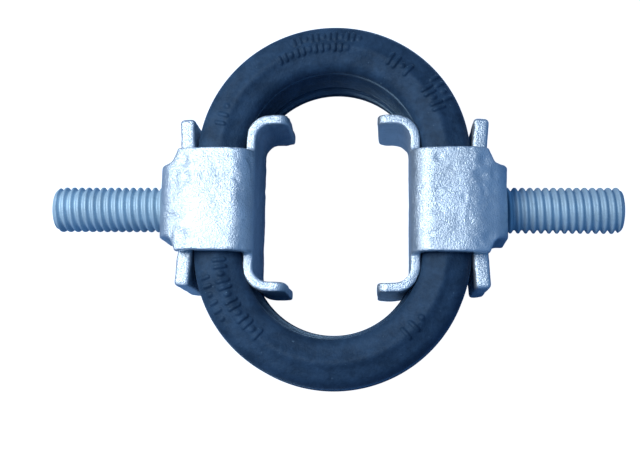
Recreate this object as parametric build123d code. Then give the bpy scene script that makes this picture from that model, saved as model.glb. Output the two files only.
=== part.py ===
"""Rubber ring hanger: an oblong rubber ring held between two galvanised yokes.
Each yoke is a strap bent round the ring, a pressure plate inside the strap and
a threaded stud riveted into that plate.

Frame, in millimetres: origin at the centre of the ring, +X along the load axis
towards the load stud, +Z along the axis of the ring's hole.  The hanger lies
flat on the backs of its two straps.

A yoke is drawn on the +X side and turned half a turn about Z for the other
side, so "outer" below means away from the ring's centre.
"""

import os

from build123d import *

# Stud: 3/8 inch, 16 threads to the inch
STUD_RADIUS = 9.525 / 2
THREAD_PITCH = 25.4 / 16
GROOVE_MOUTH = 0.46  # the thread is narrow rings at the thread's pitch
GROOVE_DEPTH = 0.40
STUD_REACH = 24.0  # from the strap's outer face to the tip
TIP_CHAMFER = 1.0
NECK_RADIUS = 4.25
RIVET_RADIUS = 3.6
RIVET_HEAD_RADIUS = 5.2

# Rubber ring: an oblong with half-circle ends; its two faces rise to a low ridge
RING_OUTER_RADIUS = 27.95
RING_INNER_RADIUS = 17.75
RING_HALF_STRAIGHT = 9.4
RING_WALL_HALF = 9.4
RING_RIDGE = 11.0
RING_CORNER_BLEND = 2.6
RING_RIDGE_BLEND = 3.0

# Strap: one blank with two tongues, which overlap at the stud, and two ears
SHEET = 2.0
STRAP_HALF_WIDTH = 10.5
TONGUE_HALF_WIDTH = 7.5
SHOULDER_BLEND = 1.6
SADDLE_FACE = 17.7  # X of the face that the rubber bears on
SIDE_HEIGHT = 12.0  # Z of the middle of the sheet on the two sides
SLOPE_START = 28.2
SLOPE_END_HEIGHT = 9.4
SADDLE_BEND = 3.6
SLOPE_BEND = 9.0
OUTER_TONGUE_BEND = 3.4
INNER_TONGUE_BEND = 2.6
OUTER_TONGUE_END = -7.6
INNER_TONGUE_END = 6.8
TONGUE_CORNER = 6.0
STUD_HOLE_RADIUS = 5.1
EAR_HALF_SPAN = 18.2
EAR_BEND = 4.0
EAR_TIP = 9.1
EAR_HALF_WIDTH = 9.2
EAR_CORNER = 2.0

# Pressure plate, between the rubber and the tongues
PLATE_THICKNESS = 3.1
PLATE_HALF_SPAN = 17.3
PLATE_HALF_WIDTH = 9.2
PLATE_FLAT = 10.0
PLATE_FLARE = 0.5  # how far each end stands away from the flat
PLATE_EDGE = 0.7

GAP = 0.04  # between parts that bear on each other

plate_inner = RING_OUTER_RADIUS + GAP
plate_outer = plate_inner + PLATE_THICKNESS
inner_tongue = plate_outer + GAP + SHEET / 2
outer_tongue = inner_tongue + SHEET + GAP
seat_face = outer_tongue + SHEET / 2
saddle = SADDLE_FACE - SHEET / 2
stud_tip = seat_face + STUD_REACH


def turned(radius, start, end):
    """A round bar along X from start to end."""
    return Pos((start + end) / 2, 0, 0) * Cylinder(radius, end - start, rotation=(0, 90, 0))


def tapered(start_radius, end_radius, start, end):
    """A cone along X from start to end."""
    cone = Cone(start_radius, end_radius, end - start, rotation=(0, 90, 0))
    return Pos((start + end) / 2, 0, 0) * cone


def ring_section():
    """The rubber's section, in X and Z."""
    middle = (RING_OUTER_RADIUS + RING_INNER_RADIUS) / 2
    half_wall = (RING_OUTER_RADIUS - RING_INNER_RADIUS) / 2
    top = [(half_wall, RING_WALL_HALF), (0, RING_RIDGE), (-half_wall, RING_WALL_HALF)]
    corners = [(middle + x, z) for x, z in top] + [(middle - x, -z) for x, z in top]
    blends = [RING_CORNER_BLEND, RING_RIDGE_BLEND, RING_CORNER_BLEND]
    return Plane.XZ * make_face(FilletPolyline(*corners, radius=blends * 2, close=True))


def rubber_ring():
    section = Pos(0, RING_HALF_STRAIGHT, 0) * ring_section()
    end = revolve(section, Axis((0, RING_HALF_STRAIGHT, 0), (0, 0, 1)), 180)
    run = extrude(section, 2 * RING_HALF_STRAIGHT, dir=(0, -1, 0))
    half = end + run
    ring = half + Rot(0, 0, 180) * half
    seat = extrude(saddle_profile(GAP), RING_RIDGE + 1, both=True)
    return ring - seat - Rot(0, 0, 180) * seat


def saddle_profile(grow=0.0):
    """The saddle and its ears seen along Z, grown by a little on every side."""
    ear = EAR_HALF_SPAN - SHEET / 2
    corners = [(EAR_TIP, -ear), (saddle, -ear), (saddle, ear), (EAR_TIP, ear)]
    return trace(FilletPolyline(*corners, radius=EAR_BEND), line_width=SHEET + 2 * grow)


def strap_loop():
    """The sheet round the rubber seen along Y, from the end of one tongue to the other."""
    corners = [
        (outer_tongue, OUTER_TONGUE_END),
        (outer_tongue, SLOPE_END_HEIGHT),
        (SLOPE_START, SIDE_HEIGHT),
        (saddle, SIDE_HEIGHT),
        (saddle, -SIDE_HEIGHT),
        (inner_tongue, -SIDE_HEIGHT),
        (inner_tongue, INNER_TONGUE_END),
    ]
    bends = [OUTER_TONGUE_BEND, SLOPE_BEND, SADDLE_BEND, SADDLE_BEND, INNER_TONGUE_BEND]
    return Plane.XZ * trace(FilletPolyline(*corners, radius=bends), line_width=SHEET)


def shoulder_waste():
    """What is cut from one flank of the wrapped sheet to leave the tongues."""
    far = seat_face + 1
    reach = STRAP_HALF_WIDTH + 1
    neck = plate_outer + 0.1
    outline = Polyline(
        (neck, reach),
        (neck, STRAP_HALF_WIDTH),
        (neck + 1.3, TONGUE_HALF_WIDTH),
        (far, TONGUE_HALF_WIDTH),
        (far, reach),
        close=True,
    )
    face = make_face(outline)
    bends = face.vertices().filter_by(lambda v: v.X < far - 1 and v.Y < reach - 0.5)
    prism = extrude(fillet(bends, SHOULDER_BLEND), SIDE_HEIGHT + 2, both=True)
    near = plate_outer - 0.3
    low, high = -SIDE_HEIGHT + 2, SLOPE_END_HEIGHT - 0.8
    size = (far - near, reach - TONGUE_HALF_WIDTH, high - low)
    middle = ((far + near) / 2, (reach + TONGUE_HALF_WIDTH) / 2, (high + low) / 2)
    return prism + Pos(*middle) * Box(*size)


def strap():
    loop = extrude(strap_loop(), STRAP_HALF_WIDTH, both=True)
    waste = shoulder_waste()
    loop -= waste
    loop -= mirror(waste, Plane.XZ)
    ends = loop.edges().filter_by(Axis.X).filter_by(lambda e: abs(e.center().Z) < 7.7)
    loop = fillet(ends, TONGUE_CORNER)
    cradle = extrude(saddle_profile(), EAR_HALF_WIDTH, both=True)
    ear_corners = cradle.edges().filter_by(Axis.Y).filter_by(lambda e: e.center().X < EAR_TIP + 0.1)
    cradle = fillet(ear_corners, EAR_CORNER)
    return loop + cradle - turned(STUD_HOLE_RADIUS, plate_outer - 1, seat_face + 1)


def pressure_plate():
    middle = (plate_inner + plate_outer) / 2
    corners = [
        (middle + PLATE_FLARE, -PLATE_HALF_SPAN),
        (middle, -PLATE_FLAT),
        (middle, PLATE_FLAT),
        (middle + PLATE_FLARE, PLATE_HALF_SPAN),
    ]
    side = trace(FilletPolyline(*corners, radius=12), line_width=PLATE_THICKNESS)
    plate = extrude(side, PLATE_HALF_WIDTH, both=True)
    plate = fillet(plate.edges(), PLATE_EDGE)
    hole = turned(RIVET_RADIUS, plate_inner - 1, plate_outer + 1)
    taper = RIVET_HEAD_RADIUS - RIVET_RADIUS
    return plate - hole - tapered(RIVET_HEAD_RADIUS, RIVET_RADIUS, plate_inner, plate_inner + taper)


def stud():
    """Threaded stud with a plain neck in the strap and a tail peened into the plate."""
    tail = RIVET_RADIUS - GAP / 2
    head = RIVET_HEAD_RADIUS - GAP / 2
    start = seat_face + 0.1
    end = stud_tip - TIP_CHAMFER
    profile = [
        (plate_inner, 0),
        (plate_inner, head),
        (plate_inner + head - tail, tail),
        (plate_outer, tail),
        (plate_outer, NECK_RADIUS),
        (start - 0.5, NECK_RADIUS),
        (start, STUD_RADIUS),
    ]
    for n in range(1, 1 + int((end - start) / THREAD_PITCH)):
        x = start + n * THREAD_PITCH
        profile += [
            (x - GROOVE_MOUTH, STUD_RADIUS),
            (x - GROOVE_MOUTH / 2, STUD_RADIUS - GROOVE_DEPTH),
            (x, STUD_RADIUS),
        ]
    profile += [(end, STUD_RADIUS), (stud_tip, STUD_RADIUS - TIP_CHAMFER), (stud_tip, 0)]
    return revolve(make_face(Polyline(*profile, close=True)), Axis.X)


def write(name, shape):
    export_step(shape, f"parts/{name}.step")
    print(name, "valid", shape.is_valid, "volume", round(shape.volume, 1), "mm3")


os.makedirs("parts", exist_ok=True)
write("rubber_ring", rubber_ring())
for side, turn in (("support", 180), ("load", 0)):
    write(f"{side}_strap", Rot(0, 0, turn) * strap())
    write(f"{side}_pressure_plate", Rot(0, 0, turn) * pressure_plate())
    write(f"{side}_stud", Rot(0, 0, turn) * stud())
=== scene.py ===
"""Looks for the rubber ring hanger: zinc-coated straps, plates and studs, a moulded rubber ring, and
a plain studio. The load yoke is on +X and the support yoke on -X.
"""

import math

import bmesh
import bpy
import numpy as np
from mathutils import Matrix, Vector, noise


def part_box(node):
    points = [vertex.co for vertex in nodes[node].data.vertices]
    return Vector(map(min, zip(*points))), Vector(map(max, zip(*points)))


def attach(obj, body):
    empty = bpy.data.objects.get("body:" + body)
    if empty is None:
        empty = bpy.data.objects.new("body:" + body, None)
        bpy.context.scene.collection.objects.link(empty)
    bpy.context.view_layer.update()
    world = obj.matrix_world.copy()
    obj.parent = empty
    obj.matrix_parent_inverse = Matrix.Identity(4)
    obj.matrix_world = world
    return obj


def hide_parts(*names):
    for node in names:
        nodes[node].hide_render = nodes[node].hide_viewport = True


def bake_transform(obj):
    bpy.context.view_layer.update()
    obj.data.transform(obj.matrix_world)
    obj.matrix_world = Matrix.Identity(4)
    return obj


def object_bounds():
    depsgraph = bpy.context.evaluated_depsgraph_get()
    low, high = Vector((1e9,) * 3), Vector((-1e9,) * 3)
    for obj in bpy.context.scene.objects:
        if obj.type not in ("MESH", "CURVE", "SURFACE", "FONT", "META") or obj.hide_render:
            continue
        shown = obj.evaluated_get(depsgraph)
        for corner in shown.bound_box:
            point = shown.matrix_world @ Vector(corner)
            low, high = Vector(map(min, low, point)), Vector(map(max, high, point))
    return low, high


MM = 0.001

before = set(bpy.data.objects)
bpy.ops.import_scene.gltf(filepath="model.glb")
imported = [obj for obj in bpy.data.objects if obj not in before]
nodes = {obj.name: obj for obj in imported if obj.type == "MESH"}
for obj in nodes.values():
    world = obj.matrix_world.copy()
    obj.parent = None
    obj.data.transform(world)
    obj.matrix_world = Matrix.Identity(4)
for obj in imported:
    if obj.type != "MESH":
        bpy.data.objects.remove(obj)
cad_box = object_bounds()

# Ring, as packed: two half-round ends joined by straight sides
RING_OUTER = 27.95
RING_INNER = 17.75
RING_STRAIGHT = 9.4  # half of a straight side
RING_WALL = 9.4  # height of the corner between wall and face
RING_RIDGE = 11.0
RING_MIDDLE = (RING_OUTER + RING_INNER) / 2  # radius of the ring's middle line
RING_HALF_WIDTH = (RING_OUTER - RING_INNER) / 2
RING_STEPS = 1200  # along the ring
SECTION_STEPS = 300  # round its section

# Saddle that the ring's inner wall is pressed against, grown by a clearance
SADDLE_FACE = 17.74
SADDLE_SPAN = 18.24
SADDLE_CORNER = 5.04
EAR_TIP = 9.0
STRAP_HALF_WIDTH = 10.5

# Studs
STUD_RADIUS = 9.525 / 2
THREAD_PITCH = 25.4 / 16
STUD_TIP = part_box("load_stud")[1][0] / MM
STUD_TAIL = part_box("load_stud")[0][0] / MM
THREAD_DEPTH = 0.68  # shallower than a bare thread, because zinc fills its root
NECK_RADIUS = 4.2
NECK_END = 34.9
RIVET_RADIUS = 3.58
RIVET_HEAD = 5.1
PLATE_FACE = STUD_TAIL + 3.1  # where the rivet tail meets the neck
STUD_SIDES = 96
ROWS_PER_TURN = 18


# ---------------------------------------------------------------- mesh helpers


def new_object(name, verts, faces, smooth=True):
    """A mesh object from vertices in millimetres."""
    mesh = bpy.data.meshes.new(name)
    mesh.from_pydata([tuple(c * MM for c in v) for v in verts], [], faces)
    mesh.validate()
    if smooth:
        mesh.shade_smooth()
    obj = bpy.data.objects.new(name, mesh)
    bpy.context.scene.collection.objects.link(obj)
    return obj


def apply_modifiers(obj):
    """Turns an object's modifiers into its own mesh."""
    depsgraph = bpy.context.evaluated_depsgraph_get()
    mesh = bpy.data.meshes.new_from_object(obj.evaluated_get(depsgraph))
    obj.modifiers.clear()
    old = obj.data
    obj.data = mesh
    bpy.data.meshes.remove(old)


def smooth_step(low, high, value):
    """0 below low, 1 above high and a smooth rise between them."""
    t = np.clip((value - low) / (high - low), 0.0, 1.0)
    return t * t * (3 - 2 * t)


# ---------------------------------------------------------------- zinc-coated sheet pieces


def coated_copy(node, name, rounds, lumps, runs=()):
    """A CAD node's shape with rounded edges and uneven faces, as a thick zinc coat leaves them.

    rounds is how far the edges are smoothed, lumps the height of the unevenness, and runs are the
    places of pits where zinc dripped.
    """
    obj = bpy.data.objects.new(name, nodes[node].data.copy())
    bpy.context.scene.collection.objects.link(obj)
    remesh = obj.modifiers.new("remesh", "REMESH")
    remesh.mode = "VOXEL"
    remesh.voxel_size = 0.26 * MM
    remesh.adaptivity = 0
    smooth = obj.modifiers.new("smooth", "SMOOTH")
    smooth.factor = 0.5
    smooth.iterations = rounds
    apply_modifiers(obj)
    mesh = obj.data
    count = len(mesh.vertices)
    co = np.empty(count * 3)
    mesh.vertices.foreach_get("co", co)
    normal = np.empty(count * 3)
    mesh.vertex_normals.foreach_get("vector", normal)
    co, normal = co.reshape(-1, 3), normal.reshape(-1, 3)
    rise = np.empty(count)
    for n, point in enumerate(co / MM):
        place = Vector(point)
        rise[n] = noise.noise(place * 0.22) + noise.noise(place * 0.7 + Vector((9, 4, 2))) * 0.35
        rise[n] -= max(0.0, noise.noise(place * 0.42 + Vector((3, 7, 1))) - 0.33) * 3.0
    for x, y in runs:  # a pit with a low rim, on the upper face only
        away = np.hypot(co[:, 0] / MM - x, co[:, 1] / MM - y)
        pit = 0.5 * np.exp(-(((away - 1.7) / 0.6) ** 2)) - 1.7 * np.exp(-((away / 0.9) ** 2))
        rise += np.where(co[:, 2] > 4 * MM, pit, 0)
    co += normal * (rise * lumps * MM)[:, None]
    mesh.vertices.foreach_set("co", co.ravel())
    mesh.update()
    mesh.shade_smooth()
    return obj


# ---------------------------------------------------------------- studs


def thread_radius(x, turn):
    """Radius of the coated thread at x along the stud, turn of the way round: a flat-topped ridge
    blended with a plain wave, so that crest and root are both rounded."""
    phase = np.mod((x / THREAD_PITCH) - turn, 1.0)
    wave = 1.0 - (0.5 + 0.5 * np.cos(2 * math.pi * phase)) ** 1.15
    flank = smooth_step(0.10, 0.84, 1.0 - np.abs(phase - 0.5) * 2)
    return STUD_RADIUS - THREAD_DEPTH * (1 - 0.55 * flank - 0.45 * wave)


def tip_radius(left):
    """The most that the chamfered and rounded tip allows, this far before its end."""
    chamfer, rounding = 1.0, 0.35
    cap = STUD_RADIUS - 0.75 * chamfer + min(left, chamfer) * 0.75
    if left < rounding:
        cap -= rounding - math.sqrt(max(rounding**2 - (rounding - left) ** 2, 0))
    return cap


def threaded_stud(name, turned_round):
    """A stud with a true helical thread, a rounded tip and a peened tail."""
    turns = np.arange(STUD_SIDES) / STUD_SIDES
    rows = []
    tail = [(STUD_TAIL, RIVET_HEAD), (STUD_TAIL + 1.6, RIVET_RADIUS), (PLATE_FACE, RIVET_RADIUS)]
    for x, radius in tail + [(PLATE_FACE, NECK_RADIUS), (NECK_END - 0.6, NECK_RADIUS)]:
        rows.append([(x, radius)] * STUD_SIDES)
    for x in np.arange(NECK_END, STUD_TIP - 0.02, THREAD_PITCH / ROWS_PER_TURN):
        begun = smooth_step(0, 0.5, x - NECK_END)
        radius = NECK_RADIUS + (thread_radius(x, turns) - NECK_RADIUS) * begun
        rows.append([(x, r) for r in np.minimum(radius, tip_radius(STUD_TIP - x))])
    rows.append([(STUD_TIP, STUD_RADIUS - 1.15)] * STUD_SIDES)
    verts = []
    for row in rows:
        for (x, radius), turn in zip(row, turns):
            angle = 2 * math.pi * turn
            verts.append((x, radius * math.cos(angle), radius * math.sin(angle)))
    faces = []
    for i in range(len(rows) - 1):
        a, b = i * STUD_SIDES, (i + 1) * STUD_SIDES
        for j in range(STUD_SIDES):
            k = (j + 1) % STUD_SIDES
            faces.append((a + j, a + k, b + k, b + j))
    for first, x in ((0, STUD_TAIL), ((len(rows) - 1) * STUD_SIDES, STUD_TIP)):
        centre = len(verts)
        verts.append((x, 0, 0))
        for j in range(STUD_SIDES):
            k = (j + 1) % STUD_SIDES
            pair = (first + j, first + k) if first else (first + k, first + j)
            faces.append((*pair, centre))
    if turned_round:
        verts = [(-x, -y, z) for x, y, z in verts]
    obj = new_object(name, verts, faces)
    mark_hard_edges(obj, 50)
    return obj


def mark_hard_edges(obj, degrees):
    """Shades edges sharper than this as creases."""
    work = bmesh.new()
    work.from_mesh(obj.data)
    bmesh.ops.recalc_face_normals(work, faces=work.faces)
    for edge in work.edges:
        if len(edge.link_faces) == 2 and edge.calc_face_angle() > math.radians(degrees):
            edge.smooth = False
    work.to_mesh(obj.data)
    work.free()


# ---------------------------------------------------------------- ring


def section_outline():
    """The rubber's section: (distance out, height) from its middle, anticlockwise, evenly spaced."""
    upper = [(RING_HALF_WIDTH, RING_WALL), (0.0, RING_RIDGE), (-RING_HALF_WIDTH, RING_WALL)]
    corners = upper + [(-x, -z) for x, z in upper]
    blends = [3.0, 3.6, 3.0] * 2
    arc_steps = 12
    points = []
    for n, (corner, blend) in enumerate(zip(corners, blends)):
        here = Vector(corner)
        before = (Vector(corners[n - 1]) - here).normalized()
        after = (Vector(corners[(n + 1) % len(corners)]) - here).normalized()
        half = before.angle(after) / 2
        reach = blend / math.tan(half)
        centre = here + (before + after).normalized() * (blend / math.sin(half))
        start, end = here + before * reach - centre, here + after * reach - centre
        sweep = start.angle(end)
        for k in range(arc_steps + 1):
            share = k / arc_steps
            weight = (math.sin((1 - share) * sweep), math.sin(share * sweep))
            points.append(centre + (start * weight[0] + end * weight[1]) / math.sin(sweep))
    loop = np.array([tuple(p) for p in points + points[:1]])
    walked = np.concatenate([[0], np.cumsum(np.linalg.norm(np.diff(loop, axis=0), axis=1))])
    even = np.linspace(0, walked[-1], SECTION_STEPS, endpoint=False)
    return np.stack([np.interp(even, walked, loop[:, k]) for k in (0, 1)], axis=1)


def ring_path():
    """Points on the ring's middle line and the outward direction at each, evenly spaced."""
    arc = math.pi * RING_MIDDLE
    run = 2 * RING_STRAIGHT
    total = 2 * (arc + run)
    places, outwards = [], []
    for n in range(RING_STEPS):
        s = total * n / RING_STEPS
        side, s = (1, s) if s < total / 2 else (-1, s - total / 2)
        if s < arc:
            angle = s / RING_MIDDLE
            out = (math.cos(angle) * side, math.sin(angle) * side)
            place = (out[0] * RING_MIDDLE, RING_STRAIGHT * side + out[1] * RING_MIDDLE)
        else:
            out = (-side, 0)
            place = (-side * RING_MIDDLE, side * (RING_STRAIGHT - (s - arc)))
        places.append(place)
        outwards.append(out)
    return np.array(places), np.array(outwards)


def outward_normals(grid):
    """Unit normals of a closed grid of points that runs along the ring and round its section."""
    along = np.roll(grid, -1, axis=0) - np.roll(grid, 1, axis=0)
    over = np.roll(grid, -1, axis=1) - np.roll(grid, 1, axis=1)
    normal = np.cross(along, over)
    return normal / np.linalg.norm(normal, axis=2)[:, :, None]


def rubber_ring():
    """The moulded ring, built as four quarters."""
    section = section_outline()
    places, outwards = ring_path()
    grid = np.zeros((RING_STEPS, SECTION_STEPS, 3))
    grid[:, :, :2] = places[:, None, :] + outwards[:, None, :] * section[None, :, :1]
    grid[:, :, 2] = section[None, :, 1]
    grid += outward_normals(grid) * ring_relief(grid, section)[:, :, None]
    seat_saddles(grid)
    normal = outward_normals(grid)
    bend = math.pi * RING_MIDDLE
    top = round(RING_STEPS * bend / 4 / (bend + 2 * RING_STRAIGHT))
    quarter = RING_STEPS // 4
    quarters = {}
    for n, name in enumerate(("support_upper", "support_lower", "load_lower", "load_upper")):
        steps = [(top + n * quarter + m) % RING_STEPS for m in range(quarter + 1)]
        verts = grid[steps].reshape(-1, 3)
        faces = []
        for i in range(quarter):
            a, b = i * SECTION_STEPS, (i + 1) * SECTION_STEPS
            for j in range(SECTION_STEPS):
                k = (j + 1) % SECTION_STEPS
                faces.append((a + j, b + j, b + k, a + k))
        obj = new_object(f"rubber_ring_{name}", verts.tolist(), faces)
        obj.data.normals_split_custom_set_from_vertices(normal[steps].reshape(-1, 3).tolist())
        quarters[name] = obj
    return quarters


def moulded_marks(x, y):
    """Height of small raised bars and pips on the ring's upper face; they spell nothing."""
    rows = (  # first and last angle round the bend, how many, distance off the ridge, bar length
        (109, 78, 12, 2.3, 1.3),
        (119, 83, 12, -0.2, 1.1),
        (60, 49, 4, 0.4, 2.2),
        (36, 24, 5, 0.6, 1.9),
        (38, 27, 4, 3.2, 1.3),
        (164, 155, 3, 1.0, 1.5),
        (187, 231, 13, -0.4, 1.9),
        (194, 214, 6, 2.9, 1.2),
        (311, 322, 3, -0.3, 2.0),
    )
    height = np.zeros_like(x)
    for first, last, count, off, bar in rows:
        bend_centre = RING_STRAIGHT if first < 180 else -RING_STRAIGHT
        for n in range(count):
            angle = math.radians(first + (last - first) * n / (count - 1))
            out = (math.cos(angle), math.sin(angle))
            dx = x - out[0] * (RING_MIDDLE + off)
            dy = y - bend_centre - out[1] * (RING_MIDDLE + off)
            long = dx * out[0] + dy * out[1]
            wide = dy * out[0] - dx * out[1]
            pip = n % 3 == 2
            past_end = np.maximum(np.abs(long) - (0.1 if pip else bar / 2), 0)
            away = np.hypot(past_end, wide)
            height = np.maximum(height, 1 - smooth_step(0.2, 0.75 if pip else 0.55, away))
    return height


def bump_at(value, place, width):
    """A smooth rise of height one round a place."""
    return np.exp(-(((value - place) / width) ** 2))


def ring_relief(grid, section):
    """How far the rubber's skin stands out, along the ring and round its section."""
    out, up = section[:, 0], section[:, 1]
    parting_line = 0.22 * bump_at(up, 0, 0.32) * (np.abs(out) > RING_HALF_WIDTH - 0.1)
    crowned_wall = 0.75 * bump_at(up, 0, 4.2) - 0.45 * bump_at(np.abs(up), 6.6, 1.5)
    groove = 0.9 * bump_at(up, 0.6, 0.40)
    skin = parting_line + (crowned_wall - groove) * (out < 1.1 - RING_HALF_WIDTH)
    crest = 0.26 * bump_at(out, 0, 0.9) * (np.abs(up) > 8)
    clear_of_strap = smooth_step(STRAP_HALF_WIDTH, STRAP_HALF_WIDTH + 3, np.abs(grid[:, :, 1]))
    relief = skin[None, :] + crest[None, :] * clear_of_strap
    upper = up > 8
    relief[:, upper] += 0.30 * moulded_marks(grid[:, upper, 0], grid[:, upper, 1])
    return relief


def seat_saddles(grid):
    """Presses the inner wall back to where each saddle bears on it."""
    x, y = np.abs(grid[:, :, 0]), np.abs(grid[:, :, 1])
    dx = np.maximum(x - (SADDLE_FACE - SADDLE_CORNER), 0)
    dy = np.maximum(y - (SADDLE_SPAN - SADDLE_CORNER), 0)
    reach = np.hypot(dx, dy)
    pressed = (reach < SADDLE_CORNER) & (dx > 0) & (x > EAR_TIP)
    scale = np.where(pressed, (SADDLE_CORNER - reach) / np.maximum(reach, 1e-6), 0)
    grid[:, :, 0] += np.sign(grid[:, :, 0]) * dx * scale
    grid[:, :, 1] += np.sign(grid[:, :, 1]) * dy * scale


# ---------------------------------------------------------------- materials


def material(name):
    """A new material with its node tree, its shader and the object's own coordinates."""
    made = bpy.data.materials.new(name)
    made.use_nodes = True
    tree = made.node_tree
    shader = tree.nodes["Principled BSDF"]
    place = tree.nodes.new("ShaderNodeTexCoord").outputs["Object"]
    return made, tree, shader, place


def add_noise(tree, place, per_mm, detail, roughness, distortion=0.0):
    """Noise with this many cells to the millimetre."""
    node = tree.nodes.new("ShaderNodeTexNoise")
    node.inputs["Scale"].default_value = per_mm / MM
    node.inputs["Detail"].default_value = detail
    node.inputs["Roughness"].default_value = roughness
    node.inputs["Distortion"].default_value = distortion
    tree.links.new(place, node.inputs["Vector"])
    return node.outputs["Fac"]


def add_ramp(tree, value, stops):
    """stops: (position, grey level or colour)."""
    node = tree.nodes.new("ShaderNodeValToRGB")
    ramp = node.color_ramp
    while len(ramp.elements) < len(stops):
        ramp.elements.new(0.5)
    for element, (position, colour) in zip(ramp.elements, stops):
        element.position = position
        element.color = (colour,) * 3 + (1,) if isinstance(colour, float) else (*colour, 1)
    tree.links.new(value, node.inputs["Fac"])
    return node.outputs["Color"]


def add_mix(tree, kind, factor, first, second):
    """Blends two colour sockets; factor is a number or a socket."""
    node = tree.nodes.new("ShaderNodeMix")
    node.data_type = "RGBA"
    node.blend_type = kind
    if isinstance(factor, float):
        node.inputs["Factor"].default_value = factor
    else:
        tree.links.new(factor, node.inputs["Factor"])
    for socket, value in (("A", first), ("B", second)):
        target = [s for s in node.inputs if s.name == socket and s.type == "RGBA"][0]
        if isinstance(value, tuple):
            target.default_value = (*value, 1)
        else:
            tree.links.new(value, target)
    return [s for s in node.outputs if s.type == "RGBA"][0]


def vary(tree, target, value, least, span):
    """Links a shader input so that it runs from least, where value is 0, to least + span, where it is 1."""
    node = tree.nodes.new("ShaderNodeMath")
    node.operation = "MULTIPLY_ADD"
    tree.links.new(value, node.inputs[0])
    node.inputs[1].default_value = span
    node.inputs[2].default_value = least
    tree.links.new(node.outputs[0], target)


def add_bump(tree, height, distance, strength, under=None):
    """Small relief, distance millimetres high, on top of another bump if there is one."""
    node = tree.nodes.new("ShaderNodeBump")
    node.inputs["Distance"].default_value = distance * MM
    node.inputs["Strength"].default_value = strength
    tree.links.new(height, node.inputs["Height"])
    if under is not None:
        tree.links.new(under, node.inputs["Normal"])
    return node.outputs["Normal"]


def galvanised(name, colour, shine, dull, grain):
    """Zinc coat: cloudy pale blue grey, with grain that breaks up its highlights.

    shine is how metallic it is, dull its roughness and grain the height of its grain.
    """
    made, tree, shader, place = material(name)
    clouds = add_noise(tree, place, 0.13, 4.0, 0.6)
    patches = add_noise(tree, place, 0.5, 3.0, 0.65, 0.6)
    grains = add_noise(tree, place, 3.2, 2.0, 0.7)
    specks = add_noise(tree, place, 0.8, 3.0, 0.7)
    pale = tuple(c * 1.08 for c in colour)
    deep = tuple(c * 0.90 for c in colour)
    base = add_mix(tree, "MIX", add_ramp(tree, clouds, [(0.35, 0.0), (0.65, 1.0)]), deep, pale)
    tint = add_ramp(tree, patches, [(0.3, (0.92, 0.95, 0.98)), (0.7, (1.0, 1.0, 1.0))])
    base = add_mix(tree, "MULTIPLY", 1.0, base, tint)
    stains = add_ramp(tree, specks, [(0.6, (1.0, 1.0, 1.0)), (0.72, (0.62, 0.70, 0.74))])
    base = add_mix(tree, "MULTIPLY", 0.7, base, stains)
    tree.links.new(base, shader.inputs["Base Color"])
    vary(tree, shader.inputs["Roughness"], patches, dull - 0.08, 0.16)
    shader.inputs["Metallic"].default_value = shine
    shader.inputs["Specular IOR Level"].default_value = 0.6
    fine = add_bump(tree, grains, 0.09 * grain, 1.0)
    broad = add_bump(tree, patches, 0.10, 0.6, fine)
    tree.links.new(broad, shader.inputs["Normal"])
    return made


def moulded_rubber(name):
    """Dark rubber with a faint bloom and a fine moulded skin."""
    made, tree, shader, place = material(name)
    bloom = add_noise(tree, place, 0.2, 8.0, 0.75, 0.15)
    skin = add_noise(tree, place, 1.1, 4.0, 0.6)
    base = add_mix(
        tree,
        "MIX",
        add_ramp(tree, bloom, [(0.40, 0.0), (0.64, 1.0)]),
        (0.010, 0.026, 0.055),
        (0.022, 0.052, 0.103),
    )
    dust = add_ramp(tree, add_noise(tree, place, 0.9, 2.0, 0.8), [(0.70, 0.0), (0.78, 0.6)])
    base = add_mix(tree, "MIX", dust, base, (0.10, 0.17, 0.25))
    tree.links.new(base, shader.inputs["Base Color"])
    vary(tree, shader.inputs["Roughness"], skin, 0.44, 0.2)
    shader.inputs["Specular IOR Level"].default_value = 0.22
    shader.inputs["Specular Tint"].default_value = (0.55, 0.78, 1.0, 1)
    shader.inputs["Sheen Weight"].default_value = 0.45
    shader.inputs["Sheen Roughness"].default_value = 0.28
    shader.inputs["Sheen Tint"].default_value = (0.45, 0.72, 1.0, 1)
    fine = add_bump(tree, skin, 0.10, 1.0)
    broad = add_bump(tree, bloom, 0.45, 0.7, fine)
    tree.links.new(broad, shader.inputs["Normal"])
    return made


# ---------------------------------------------------------------- the object

zinc_sheet = galvanised("zinc_sheet", (0.52, 0.62, 0.71), 0.78, 0.38, 1.8)
zinc_thread = galvanised("zinc_thread", (0.34, 0.50, 0.62), 0.35, 0.56, 0.9)
rubber = moulded_rubber("ring_rubber")

zinc_runs = {
    "support": [(-29.6, 7.6), (-29.0, 4.2), (-29.4, -7.4)],
    "load": [(30.2, 7.8), (31.0, -7.6), (29.6, 4.6)],
}

for side, runs in zinc_runs.items():
    strap_node, plate_node = f"{side}_strap", f"{side}_pressure_plate"
    pieces = (
        (strap_node, "strap", zinc_sheet, coated_copy(strap_node, f"{side}_coated_strap", 12, 0.13, runs)),
        (plate_node, "plate", zinc_sheet, coated_copy(plate_node, f"{side}_coated_plate", 10, 0.10)),
        (f"{side}_stud", "stud", zinc_thread, threaded_stud(f"{side}_threaded_stud", side == "support")),
    )
    for node, kind, zinc, piece in pieces:
        piece.data.materials.clear()
        piece.data.materials.append(zinc)
        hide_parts(node)
        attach(piece, f"{side}_yoke")

for name, piece in rubber_ring().items():
    piece.data.materials.append(rubber)
    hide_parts("rubber_ring")
    side, level = name.split("_")
    if side == "support":
        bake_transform(piece)
    else:
        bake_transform(piece)


# ---------------------------------------------------------------- studio


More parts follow.
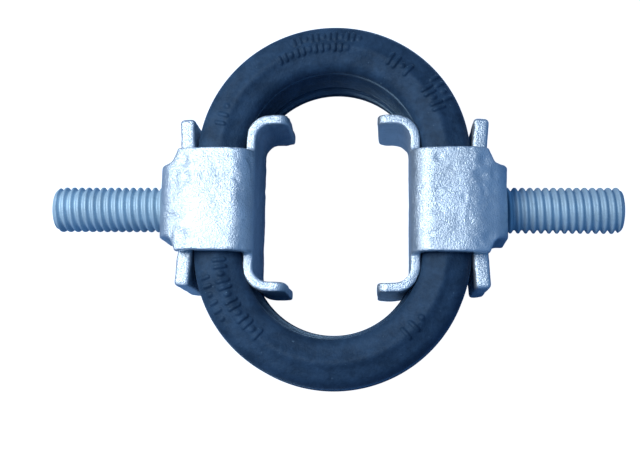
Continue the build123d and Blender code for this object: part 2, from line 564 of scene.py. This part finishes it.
def area_light(name, place, target, size, energy, colour):
    data = bpy.data.lights.new(name, "AREA")
    data.shape = "RECTANGLE"
    data.size, data.size_y = size[0] * MM, size[1] * MM
    data.energy = energy
    data.color = colour
    light = bpy.data.objects.new(name, data)
    light.location = Vector(place) * MM
    aim = (Vector(target) - Vector(place)).to_track_quat("-Z", "Y")
    light.rotation_euler = aim.to_euler()
    bpy.context.scene.collection.objects.link(light)


def floor():
    """A plain white floor under the hanger, bright enough to carry no shadow; its glow stays on itself."""
    half, height = 3000, cad_box[0][2] / MM - 0.15
    corners = [(x * half, y * half, height) for x, y in ((-1, -1), (1, -1), (1, 1), (-1, 1))]
    obj = new_object("studio_floor", corners, [(0, 1, 2, 3)], smooth=False)
    made, _, shader, _ = material("studio_white")
    shader.inputs["Base Color"].default_value = (0.13, 0.22, 0.36, 1)
    shader.inputs["Roughness"].default_value = 1.0
    shader.inputs["Specular IOR Level"].default_value = 0.0
    shader.inputs["Emission Color"].default_value = (1, 1, 1, 1)
    shader.inputs["Emission Strength"].default_value = 1.0
    obj.data.materials.append(made)
    lit = bpy.data.collections.new("lit_by_floor")
    lit.objects.link(obj)
    obj.light_linking.receiver_collection = lit


def camera():
    """Looks down on the lying hanger from a little below and to the right of its middle."""
    data = bpy.data.cameras.new("camera")
    data.sensor_width = 36.0
    data.lens = 56.25
    data.clip_start, data.clip_end = 0.005, 20
    obj = bpy.data.objects.new("camera", data)
    yaw, pitch, roll = (math.radians(angle) for angle in (3.96, 10.18, 0.88))
    turn = Matrix.Rotation(yaw, 4, "Y") @ Matrix.Rotation(pitch, 4, "X") @ Matrix.Rotation(roll, 4, "Z")
    obj.matrix_world = Matrix.Translation(Vector((11.3, -40.4, 205.8)) * MM) @ turn
    bpy.context.scene.collection.objects.link(obj)
    bpy.context.scene.camera = obj


floor()
area_light("key", (-175, 60, 270), (-10, 0, 0), (165, 200), 1.25, (1.0, 0.97, 0.93))
world = bpy.data.worlds.new("studio")
world.use_nodes = True
background = world.node_tree.nodes["Background"]
background.inputs["Color"].default_value = (0.22, 0.52, 1.0, 1)
background.inputs["Strength"].default_value = 0.46
bpy.context.scene.world = world
bpy.context.scene.view_settings.view_transform = "Standard"
camera()
